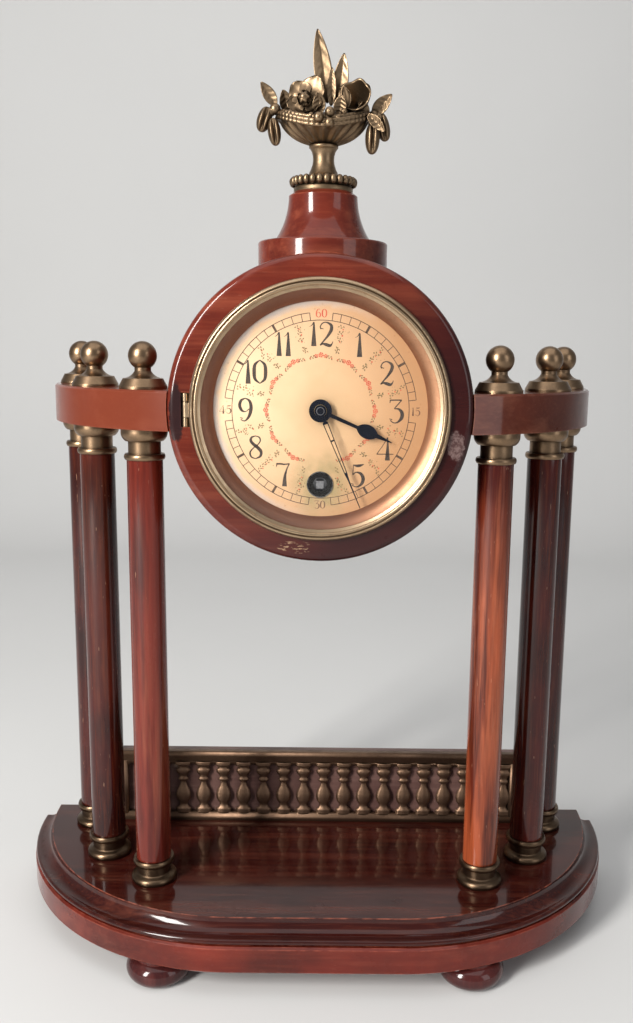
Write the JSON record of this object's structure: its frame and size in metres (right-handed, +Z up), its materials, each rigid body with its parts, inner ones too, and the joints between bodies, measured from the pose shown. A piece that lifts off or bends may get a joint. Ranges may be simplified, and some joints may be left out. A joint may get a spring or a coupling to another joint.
{
  "type": "portal mantel clock",
  "caption": "Mantel clock with a round wooden drum held between curved arms on columns over a D-shaped base, with a hinged glass front, back door and wound movement.",
  "frame": {"origin": "on the table under the middle of the base's bounding box", "axes": "+X to the right seen from the front, +Y to the back, +Z up; the dial faces -Y"},
  "size_m": [0.2624, 0.1004, 0.3609],
  "materials": {
    "red_mahogany": "polished",
    "dark_mahogany": "polished",
    "foot_mahogany": "polished",
    "arm_mahogany": "polished",
    "drum_mahogany": "polished",
    "column_mahogany": "polished",
    "board_wood": "worn",
    "cast_brass": "tarnished",
    "gallery_brass": "tarnished",
    "bezel_brass": "worn",
    "ring_brass": "worn",
    "bright_brass": "brushed",
    "clear_glass": "clear",
    "dial_print": "matte print",
    "black_grommet": "black",
    "blued_steel": "blued",
    "steel": "satin",
    "spring_steel": "satin"
  },
  "bodies": {
    "case": {"base_slab": "red_mahogany", "base_platform": "dark_mahogany", "foot_front_left": "foot_mahogany", "foot_front_right": "foot_mahogany", "foot_rear_left": "foot_mahogany", "foot_rear_right": "foot_mahogany", "column_rods": "steel", "arm_left": "arm_mahogany", "arm_right": "arm_mahogany", "drum_case": "drum_mahogany", "finial_plinth": "drum_mahogany", "urn_finial": "cast_brass", "gallery_balustrade": "gallery_brass", "gallery_backboard": "board_wood", "bezel_hinge": "bezel_brass", "dial": "dial_print", "dial_ring": "ring_brass", "winding_grommet": "black_grommet", "back_door_hinge": "bright_brass", "front_plate": "bright_brass", "back_plate": "bright_brass", "plate_pillars": "bright_brass", "movement_screws": "steel", "click_spring": "spring_steel", "balance_cock": "bright_brass", "column_left_front": "column_mahogany", "column_left_middle": "column_mahogany", "column_left_rear": "column_mahogany", "capitals_left": "cast_brass", "column_bases_left": "cast_brass", "ball_finials_left": "cast_brass", "column_right_front": "column_mahogany", "column_right_middle": "column_mahogany", "column_right_rear": "column_mahogany", "capitals_right": "cast_brass", "column_bases_right": "cast_brass", "ball_finials_right": "cast_brass"},
    "bezel_cover": {"bezel": "bezel_brass", "bezel_glass": "clear_glass"},
    "back_cover": {"back_door": "bright_brass"},
    "minute_hand_group": {"cannon_pinion": "steel", "minute_hand": "blued_steel", "hand_nut": "bright_brass"},
    "minute_wheel_group": {"minute_wheel": "bright_brass"},
    "hour_hand_group": {"hour_wheel": "bright_brass", "hour_hand": "blued_steel"},
    "escape_group": {"escape_wheel": "bright_brass"},
    "fourth_group": {"fourth_wheel": "bright_brass"},
    "third_group": {"third_wheel": "bright_brass"},
    "centre_group": {"centre_wheel": "bright_brass"},
    "intermediate_group": {"intermediate_wheel": "bright_brass"},
    "barrel_group": {"spring_barrel": "bright_brass", "mainspring": "spring_steel"},
    "winding_group": {"winding_arbor": "steel", "ratchet_wheel": "steel"},
    "click_group": {"click": "steel"},
    "lever_group": {"pallet_lever": "steel"},
    "balance_group": {"balance_wheel": "bright_brass", "hairspring": "spring_steel"},
    "regulator_group": {"regulator": "steel"}
  },
  "joints": [
    {"name": "bezel_hinge_turn", "type": "hinge", "parent": "case", "child": "bezel_cover", "pos_m": [-0.0489, -0.0315, 0.2235], "axis": [0, 0, -1], "range_deg": [0, 105]},
    {"name": "back_door_turn", "type": "hinge", "parent": "case", "child": "back_cover", "pos_m": [0.0462, 0.0231, 0.2235], "axis": [0, 0, -1], "range_deg": [0, 105]},
    {"name": "minute_hand_turn", "type": "hinge", "parent": "case", "child": "minute_hand_group", "pos_m": [0, -0.025, 0.2235], "axis": [0, 1, 0], "continuous": true},
    {"name": "minute_wheel_turn", "type": "hinge", "parent": "case", "child": "minute_wheel_group", "pos_m": [0.00935, -0.022, 0.2181], "axis": [0, 1, 0], "continuous": true},
    {"name": "hour_hand_turn", "type": "hinge", "parent": "case", "child": "hour_hand_group", "pos_m": [0, -0.026, 0.2235], "axis": [0, 1, 0], "continuous": true},
    {"name": "escape_turn", "type": "hinge", "parent": "case", "child": "escape_group", "pos_m": [-0.01271, -0.008, 0.23689], "axis": [0, 1, 0], "continuous": true},
    {"name": "fourth_turn", "type": "hinge", "parent": "case", "child": "fourth_group", "pos_m": [-0.00324, -0.008, 0.24033], "axis": [0, 1, 0], "continuous": true},
    {"name": "third_turn", "type": "hinge", "parent": "case", "child": "third_group", "pos_m": [0.00648, -0.008, 0.23472], "axis": [0, 1, 0], "continuous": true},
    {"name": "centre_turn", "type": "hinge", "parent": "case", "child": "centre_group", "pos_m": [0, -0.008, 0.2235], "axis": [0, 1, 0], "continuous": true},
    {"name": "intermediate_turn", "type": "hinge", "parent": "case", "child": "intermediate_group", "pos_m": [0.00629, -0.008, 0.21099], "axis": [0, 1, 0], "continuous": true},
    {"name": "barrel_turn", "type": "hinge", "parent": "case", "child": "barrel_group", "pos_m": [0, -0.01, 0.1961], "axis": [0, 1, 0], "continuous": true},
    {"name": "winding_turn", "type": "hinge", "parent": "case", "child": "winding_group", "pos_m": [0, -0.02, 0.1961], "axis": [0, 1, 0], "range_deg": [0, 1800], "deforming": ["mainspring"]},
    {"name": "click_turn", "type": "hinge", "parent": "case", "child": "click_group", "pos_m": [-0.00934, -0.0218, 0.20264], "axis": [0, 1, 0], "range_deg": [0, 12], "stiffness_Nm_per_rad": 0.0005, "springref_deg": -5.73, "deforming": ["click_spring"]},
    {"name": "lever_swing", "type": "hinge", "parent": "case", "child": "lever_group", "pos_m": [-0.01893, -0.008, 0.23253], "axis": [0, 1, 0], "range_deg": [-4, 4]},
    {"name": "balance_swing", "type": "hinge", "parent": "case", "child": "balance_group", "pos_m": [-0.02438, -0.008, 0.22475], "axis": [0, 1, 0], "range_deg": [-250, 250], "stiffness_Nm_per_rad": 0.00002, "deforming": ["hairspring"]},
    {"name": "regulator_turn", "type": "hinge", "parent": "case", "child": "regulator_group", "pos_m": [-0.02438, 0.0049, 0.22475], "axis": [0, 1, 0], "range_deg": [-15, 15]}
  ],
  "couplings": [
    {"joint": "minute_wheel_turn", "follows": "minute_hand_turn", "ratio": -0.33333},
    {"joint": "hour_hand_turn", "follows": "minute_hand_turn", "ratio": 0.083333},
    {"joint": "fourth_turn", "follows": "escape_turn", "ratio": -0.125},
    {"joint": "third_turn", "follows": "escape_turn", "ratio": 0.016667},
    {"joint": "centre_turn", "follows": "escape_turn", "ratio": -0.0020833},
    {"joint": "intermediate_turn", "follows": "escape_turn", "ratio": 0.00034722},
    {"joint": "barrel_turn", "follows": "escape_turn", "ratio": -0.00005787}
  ]
}
